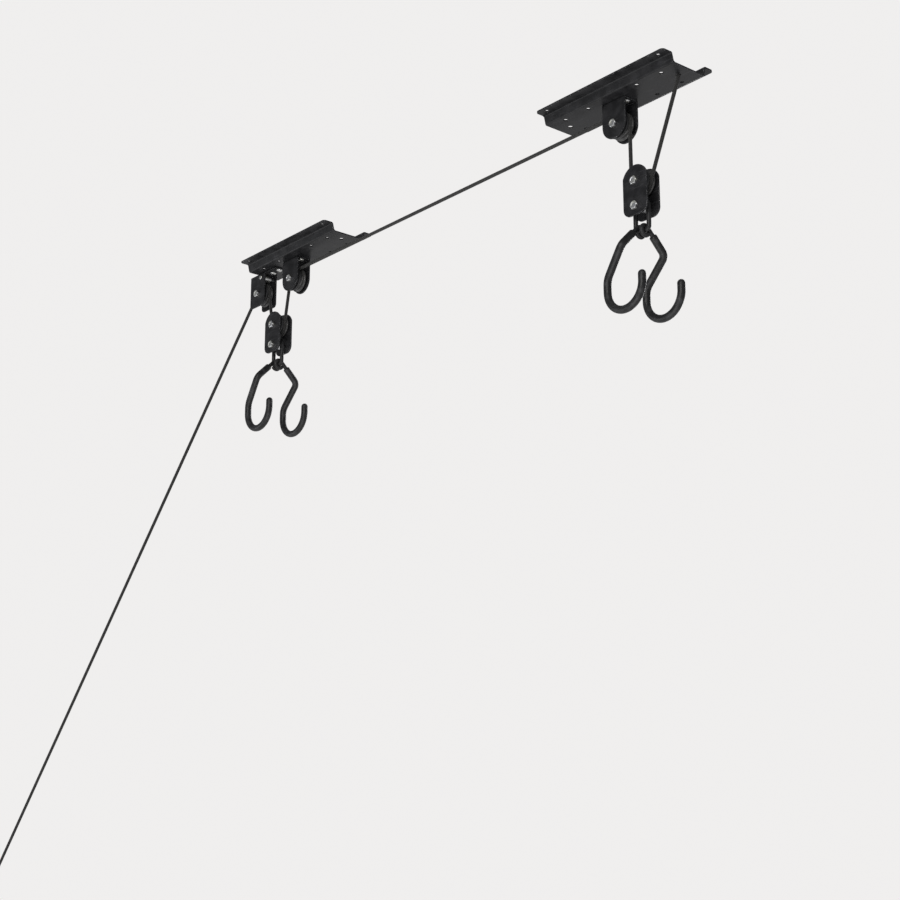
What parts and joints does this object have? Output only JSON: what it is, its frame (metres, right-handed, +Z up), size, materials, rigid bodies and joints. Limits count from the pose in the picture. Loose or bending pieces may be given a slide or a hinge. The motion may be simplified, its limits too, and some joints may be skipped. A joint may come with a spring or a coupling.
{
  "type": "bicycle ceiling hoist",
  "caption": "Bicycle hoist for a ceiling: brackets with grooved sheaves and a rope lock carry pulley blocks with coated hooks on one rope.",
  "frame": {"origin": "middle of the front bracket's four ceiling screw holes, on its ceiling face", "axes": "+Z up, out of the ceiling face; +X from the front bracket, which has the rope lock, to the rear bracket; every sheave turns about an axis along Y"},
  "size_m": [1.8467, 0.092, 1.0571],
  "materials": {
    "bracket_steel": "satin powder coat",
    "block_steel": "satin powder coat",
    "zinc": "zinc plated",
    "sheave_plastic": "moulded, worn by the rope",
    "hook_steel": "black oxide",
    "hook_coating": "soft dipped coating",
    "rope": "braided"
  },
  "bodies": {
    "ceiling_set": {"front_plate": "bracket_steel", "front_stirrup": "bracket_steel", "lock_stirrup": "bracket_steel", "front_rivets": "zinc", "lock_axle_bolt": "zinc", "lock_axle_nut": "zinc", "lock_cam_pin": "zinc", "front_axle_bolt": "zinc", "front_axle_nut": "zinc", "rear_plate": "bracket_steel", "rear_stirrup": "bracket_steel", "rear_rivets": "zinc", "rear_axle_bolt": "zinc", "rear_axle_nut": "zinc", "ceiling_rope": "rope", "lock_rope": "rope", "anchor_rope": "rope", "front_left_strand": "rope", "front_right_strand": "rope", "rear_left_strand": "rope", "rear_right_strand": "rope", "tail_rope": "rope", "tail_knot": "rope", "wall_eye": "zinc"},
    "lock_wheel": {"lock_sheave": "sheave_plastic"},
    "lock_jaw": {"lock_cam": "zinc"},
    "front_wheel": {"front_sheave": "sheave_plastic"},
    "rear_wheel": {"rear_sheave": "sheave_plastic"},
    "front_block": {"front_block_near_cheek": "block_steel", "front_block_far_cheek": "block_steel", "front_block_axle_bolt": "zinc", "front_block_axle_nut": "zinc", "front_link_sleeve": "zinc", "front_link_bolt": "zinc", "front_link_nut": "zinc", "front_block_rope": "rope"},
    "front_block_wheel": {"front_block_sheave": "sheave_plastic"},
    "front_hook_link": {"front_link": "hook_steel"},
    "front_near_hook": {"front_near_hook_rod": "hook_steel", "front_near_hook_coat": "hook_coating"},
    "front_far_hook": {"front_far_hook_rod": "hook_steel", "front_far_hook_coat": "hook_coating"},
    "rear_block": {"rear_block_near_cheek": "block_steel", "rear_block_far_cheek": "block_steel", "rear_block_axle_bolt": "zinc", "rear_block_axle_nut": "zinc", "rear_link_sleeve": "zinc", "rear_link_bolt": "zinc", "rear_link_nut": "zinc", "rear_block_rope": "rope"},
    "rear_block_wheel": {"rear_block_sheave": "sheave_plastic"},
    "rear_hook_link": {"rear_link": "hook_steel"},
    "rear_near_hook": {"rear_near_hook_rod": "hook_steel", "rear_near_hook_coat": "hook_coating"},
    "rear_far_hook": {"rear_far_hook_rod": "hook_steel", "rear_far_hook_coat": "hook_coating"}
  },
  "joints": [
    {"name": "rear_lift", "type": "slide", "parent": "ceiling_set", "child": "rear_block", "axis": [0, 0, 1], "range_m": [-2, 0.015], "deforming": ["rear_left_strand", "rear_right_strand"]},
    {"name": "front_lift", "type": "slide", "parent": "ceiling_set", "child": "front_block", "axis": [0, 0, 1], "range_m": [-2, 0.015], "deforming": ["front_left_strand", "front_right_strand"]},
    {"name": "lock_sheave_spin", "type": "hinge", "parent": "ceiling_set", "child": "lock_wheel", "pos_m": [-0.112, 0, -0.046], "axis": [0, 1, 0], "continuous": true},
    {"name": "front_sheave_spin", "type": "hinge", "parent": "ceiling_set", "child": "front_wheel", "pos_m": [-0.022, 0, -0.046], "axis": [0, 1, 0], "continuous": true},
    {"name": "rear_sheave_spin", "type": "hinge", "parent": "ceiling_set", "child": "rear_wheel", "pos_m": [0.685, 0, -0.046], "axis": [0, 1, 0], "continuous": true},
    {"name": "front_block_sheave_spin", "type": "hinge", "parent": "front_block", "child": "front_block_wheel", "pos_m": [-0.067, 0, -0.11], "axis": [0, 1, 0], "continuous": true},
    {"name": "rear_block_sheave_spin", "type": "hinge", "parent": "rear_block", "child": "rear_block_wheel", "pos_m": [0.7176, 0, -0.135], "axis": [0, 1, 0], "continuous": true},
    {"name": "lock_cam_swing", "type": "hinge", "parent": "ceiling_set", "child": "lock_jaw", "pos_m": [-0.103, 0, -0.0208], "axis": [0, 1, 0], "range_deg": [0, 20]},
    {"name": "front_link_swing", "type": "hinge", "parent": "front_block", "child": "front_hook_link", "pos_m": [-0.067, 0, -0.143], "axis": [0, 1, 0], "range_deg": [-30, 30]},
    {"name": "front_near_hook_swing", "type": "hinge", "parent": "front_hook_link", "child": "front_near_hook", "pos_m": [-0.067, 0, -0.174], "axis": [1, 0, 0], "range_deg": [-20, 10]},
    {"name": "front_far_hook_swing", "type": "hinge", "parent": "front_hook_link", "child": "front_far_hook", "pos_m": [-0.067, 0, -0.174], "axis": [1, 0, 0], "range_deg": [-10, 20]},
    {"name": "rear_link_swing", "type": "hinge", "parent": "rear_block", "child": "rear_hook_link", "pos_m": [0.7176, 0, -0.168], "axis": [0, 1, 0], "range_deg": [-30, 30]},
    {"name": "rear_near_hook_swing", "type": "hinge", "parent": "rear_hook_link", "child": "rear_near_hook", "pos_m": [0.7176, 0, -0.199], "axis": [1, 0, 0], "range_deg": [-20, 10]},
    {"name": "rear_far_hook_swing", "type": "hinge", "parent": "rear_hook_link", "child": "rear_far_hook", "pos_m": [0.7176, 0, -0.199], "axis": [1, 0, 0], "range_deg": [-10, 20]}
  ],
  "couplings": [
    {"joint": "front_lift", "follows": "rear_lift", "ratio": 1},
    {"joint": "lock_sheave_spin", "follows": "rear_lift", "rad_per_m": -245.4},
    {"joint": "front_sheave_spin", "follows": "rear_lift", "rad_per_m": -122.7},
    {"joint": "rear_sheave_spin", "follows": "rear_lift", "rad_per_m": -122.7},
    {"joint": "front_block_sheave_spin", "follows": "rear_lift", "rad_per_m": 184.05},
    {"joint": "rear_block_sheave_spin", "follows": "rear_lift", "rad_per_m": 61.35}
  ]
}
